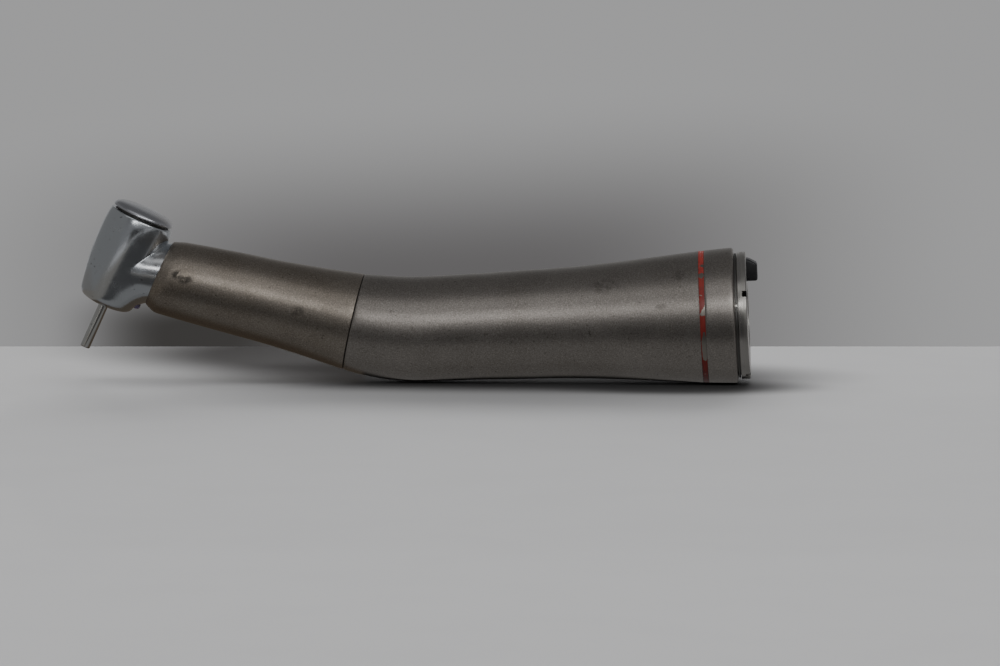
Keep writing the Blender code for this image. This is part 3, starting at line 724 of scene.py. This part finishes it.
def light_inlet():
    """The black light inlet: a block with a sloped outer face, rounded on every edge."""
    low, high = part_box("light_inlet")
    mesh = bpy.data.meshes.new("light_inlet_block")
    slope_x = high.x - 1.38 * MM
    slope_z = high.z - 0.8 * MM
    outline = [(low.x, low.z), (high.x, low.z), (high.x, slope_z), (slope_x, high.z), (low.x, high.z)]
    points = [(x, low.y, z) for x, z in outline] + [(x, high.y, z) for x, z in outline]
    count = len(outline)
    faces = [tuple(range(count)), tuple(range(2 * count - 1, count - 1, -1))]
    faces += [(i, count + i, count + (i + 1) % count, (i + 1) % count) for i in range(count)]
    mesh.from_pydata(points, [], outward(points, faces))
    mesh.materials.append(black_plastic)
    block = bpy.data.objects.new("light_inlet_block", mesh)
    bpy.context.scene.collection.objects.link(block)
    bevel = block.modifiers.new("Rounded edges", "BEVEL")
    bevel.width = 0.32 * MM
    bevel.segments = 4
    mesh.shade_smooth()
    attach(block, "root")
    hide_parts("light_inlet")


# Studio: the handpiece lies on its rear rim and its belly, so the floor leans a little in the part's frame.
# Its lengths are in metres. The pale room behind the floor's far edge is the world.

FLOOR_LEAN = math.radians(2.72)
RIM_POINT = REAR + Vector((-2.35, 0, -10.87)) * MM
FLOOR_BEHIND = 0.058
FLOOR_SIDE = 1.2
FLOOR_AHEAD = -1.5
VIEW_RISE = math.radians(5.7)
VIEW_SWING = math.radians(2.9)
VIEW_DISTANCE = 0.991
VIEW_TARGET = REAR + Vector((-39.8, 0, -1.2)) * MM


def studio_frame():
    """Axes of the floor: X along it towards the motor end, Z its normal, at the rear rim's lowest point."""
    x = Vector((math.cos(FLOOR_LEAN), 0, -math.sin(FLOOR_LEAN)))
    z = Vector((math.sin(FLOOR_LEAN), 0, math.cos(FLOOR_LEAN)))
    turn = Matrix((x, z.cross(x), z)).transposed().to_4x4()
    return Matrix.Translation(RIM_POINT) @ turn


def sheet(name, corners, material):
    """A flat face of the studio, from corners in the floor's axes."""
    mesh = bpy.data.meshes.new(name)
    mesh.from_pydata([tuple(studio @ Vector(corner)) for corner in corners], [], [tuple(range(len(corners)))])
    mesh.materials.append(material)
    piece = bpy.data.objects.new(name, mesh)
    bpy.context.scene.collection.objects.link(piece)
    return piece


# Soft shade painted where the handpiece is close to the floor: x, y, half sizes, softness and depth.

FLOOR_SHADES = [
    (-0.038, -0.002, 0.042, 0.036, 0.6, 0.45), (-0.034, 0.010, 0.042, 0.022, 0.4, 0.88),
    (-0.069, 0.041, 0.031, 0.034, 0.45, 0.88), (-0.094, 0.056, 0.020, 0.024, 0.6, 0.4),
    (-0.009, -0.006, 0.018, 0.010, 0.5, 0.88),
]


def floor():
    """The matt floor. Its far edge is square to the view."""
    paint = (0.6, 0.6, 0.605)
    finish = Finish("floor_paint", paint, 0.75, 0.0)
    finish.tint(finish.band(finish.noise(60, 2), 0.4, 0.7, 0, 0.25), tuple(c * 0.94 for c in paint))
    for x, y, half_x, half_y, softness, depth in FLOOR_SHADES:
        shade = finish.near(tuple(studio @ Vector((x, y, 0))), (half_x, half_y, 1), softness)
        finish.tint(finish.math("MULTIPLY", shade, depth), (0.02, 0.019, 0.019))
    turned = FLOOR_SIDE * math.tan(VIEW_SWING)
    corners = [
        (-FLOOR_SIDE, FLOOR_AHEAD, 0), (FLOOR_SIDE, FLOOR_AHEAD, 0),
        (FLOOR_SIDE, FLOOR_BEHIND + turned, 0), (-FLOOR_SIDE, FLOOR_BEHIND - turned, 0),
    ]
    sheet("floor", corners, finish.material)


def lamp(name, place, size, watts):
    """A soft box aimed at the handpiece. It shows in reflections only."""
    data = bpy.data.lights.new(name, "AREA")
    data.shape = "RECTANGLE"
    data.size, data.size_y = size
    data.energy = watts
    obj = bpy.data.objects.new(name, data)
    bpy.context.scene.collection.objects.link(obj)
    place, target = studio @ Vector(place), studio @ Vector((-0.04, 0, 0.01))
    obj.location = place
    aim = (target - place).normalized()
    side = aim.cross(studio.to_3x3() @ Vector((0, 0, 1))).normalized()
    obj.rotation_euler = Matrix((side, side.cross(aim), -aim)).transposed().to_euler()
    obj.visible_camera = False
    obj.visible_glossy = True
    obj.visible_diffuse = False


def sun(name, elevation, strength, width):
    """Broad light from behind or above, at an elevation in degrees. It shows in matt surfaces only."""
    data = bpy.data.lights.new(name, "SUN")
    data.energy = strength
    data.angle = math.radians(width)
    obj = bpy.data.objects.new(name, data)
    bpy.context.scene.collection.objects.link(obj)
    rise = math.radians(elevation)
    down = studio.to_3x3() @ Vector((0, -math.cos(rise), -math.sin(rise)))
    obj.rotation_euler = down.to_track_quat("-Z", "Y").to_euler()
    obj.visible_glossy = False


def flag(name, corners, glow):
    """A glowing card that only reflections see: a painted reflection in a tone of its own."""
    finish = Finish(name + "_card", (0, 0, 0), 1.0, 0.0, Specular_IOR_Level=0.0, Emission_Strength=1.0)
    finish.shader.inputs["Emission Color"].default_value = (*glow, 1)
    card = sheet(name, corners, finish.material)
    card.visible_camera = False
    card.visible_diffuse = False
    card.visible_shadow = False
    card.visible_transmission = False


def flags():
    """The glowing cards whose painted reflections give the metal its bands: some lie on the floor, and two
    stand beside and in front.
    """
    right, left, head_side, behind = 0.25, -0.5, -0.115, 0.055
    far, mid, near, contact = -0.2, -0.02, -0.007, -0.0025
    under_head = [(-0.11, -0.09), (-0.085, far)]
    on_floor = [
        ("floor_flag", [(right, far), (right, mid), (head_side, mid), *under_head], (0.06, 0.06, 0.061)),
        ("left_flag", [*under_head[::-1], (head_side, behind), (left, behind), (left, far)],
         (0.2, 0.19, 0.175)),
        ("near_flag", [(head_side, mid), (right, mid), (right, near), (head_side, near)], (0.2, 0.2, 0.2)),
        ("contact_flag", [(head_side, near), (right, near), (right, contact), (head_side, contact)],
         (0.17, 0.17, 0.17)),
        ("under_flag", [(head_side, contact), (-0.06, contact), (-0.06, behind), (head_side, behind)],
         (0.085, 0.07, 0.055)),
    ]
    # Painted reflections: each card glows in the tone that the metal should reflect from that place.
    for name, outline, glow in on_floor:
        flag(name, [(x, y, 0.0004) for x, y in outline], glow)
    flag("side_flag", [(-0.3, -0.3, 0), (-0.3, 0.3, 0), (-0.3, 0.3, 0.3), (-0.3, -0.3, 0.3)], (0.2, 0.2, 0.2))
    front = [(-0.15, -0.3, 0.0), (0.07, -0.3, 0.0), (0.07, -0.3, 0.05), (-0.15, -0.3, 0.05)]
    flag("front_flag", front, (0.012, 0.012, 0.012))


def camera():
    data = bpy.data.cameras.new("camera")
    data.lens = 223
    data.sensor_width = 36
    data.clip_start = 0.05
    data.clip_end = 10
    obj = bpy.data.objects.new("camera", data)
    bpy.context.scene.collection.objects.link(obj)
    bpy.context.scene.camera = obj
    level = math.cos(VIEW_RISE)
    away = Vector((math.sin(VIEW_SWING) * level, -math.cos(VIEW_SWING) * level, math.sin(VIEW_RISE)))
    away = studio.to_3x3() @ away
    obj.location = VIEW_TARGET + away * VIEW_DISTANCE
    right = (studio.to_3x3() @ Vector((0, 0, 1))).cross(away).normalized()
    obj.rotation_euler = Matrix((right, away.cross(right), away)).transposed().to_euler()


def room():
    """The room's light: pale behind the handpiece but for its soft shadow, and dimmer above and in front."""
    world = bpy.data.worlds.new("room")
    world.use_nodes = True
    tree = world.node_tree
    direction = tree.nodes.new("ShaderNodeTexCoord").outputs["Generated"]

    def fade(value, low, high):
        step = tree.nodes.new("ShaderNodeMapRange")
        step.interpolation_type = "SMOOTHSTEP"
        step.inputs[1].default_value = low
        step.inputs[2].default_value = high
        tree.links.new(value, step.inputs[0])
        return step.outputs[0]

    def towards(place, spread):
        """How far a direction is from that of a place seen by the camera, measured in a rounded square."""
        offset = tree.nodes.new("ShaderNodeMapping")
        offset.vector_type = "TEXTURE"
        view = studio @ Vector(place) - bpy.context.scene.camera.location
        offset.inputs["Location"].default_value = view.normalized()
        offset.inputs["Scale"].default_value = spread
        tree.links.new(direction, offset.inputs["Vector"])
        squares = tree.nodes.new("ShaderNodeVectorMath")
        squares.operation = "MULTIPLY"
        length = tree.nodes.new("ShaderNodeVectorMath")
        length.operation = "LENGTH"
        root = tree.nodes.new("ShaderNodeMath")
        root.operation = "SQRT"
        tree.links.new(offset.outputs["Vector"], squares.inputs[0])
        tree.links.new(offset.outputs["Vector"], squares.inputs[1])
        tree.links.new(squares.outputs["Vector"], length.inputs[0])
        tree.links.new(length.outputs["Value"], root.inputs[0])
        return root.outputs["Value"]

    def mixed(factor, first, second):
        mix = tree.nodes.new("ShaderNodeMix")
        mix.data_type = "RGBA"
        tree.links.new(factor, mix.inputs["Factor"])
        for socket, value in (("A", first), ("B", second)):
            if isinstance(value, tuple):
                mix.inputs[socket].default_value = (*value, 1)
            else:
                tree.links.new(value, mix.inputs[socket])
        return mix.outputs["Result"]

    split = tree.nodes.new("ShaderNodeSeparateXYZ")
    tree.links.new(direction, split.inputs[0])
    tone = mixed(fade(split.outputs["Y"], 0.55, 0.9), (0.20, 0.20, 0.205), (0.37, 0.37, 0.373))
    tone = mixed(fade(split.outputs["Z"], 0.12, 0.75), tone, (0.14, 0.14, 0.142))
    halo = fade(towards((-0.050, FLOOR_BEHIND, 0.006), (0.076, 1, 0.029)), 0.2, 1.2)
    tone = mixed(halo, (0.13, 0.126, 0.127), tone)
    under_neck = fade(towards((-0.092, FLOOR_BEHIND, 0.0015), (0.017, 1, 0.006)), 0.3, 1.5)
    tone = mixed(under_neck, (0.05, 0.048, 0.046), tone)
    tree.links.new(tone, tree.nodes["Background"].inputs["Color"])
    bpy.context.scene.world = world


def light():
    sun("back_sun", 20, 2.3, 30)
    sun("top_sun", 78, 1.6, 75)
    lamp("front_lamp", (0.22, -0.65, 0.38), (1.0, 0.12), 1.6)
    lamp("high_lamp", (-0.04, -0.45, 0.68), (1.0, 0.25), 0.4)
    flags()


studio = studio_frame()
dress_cad_nodes()
casing()
motor_end()
light_inlet()
head()
camera()
room()
floor()
light()
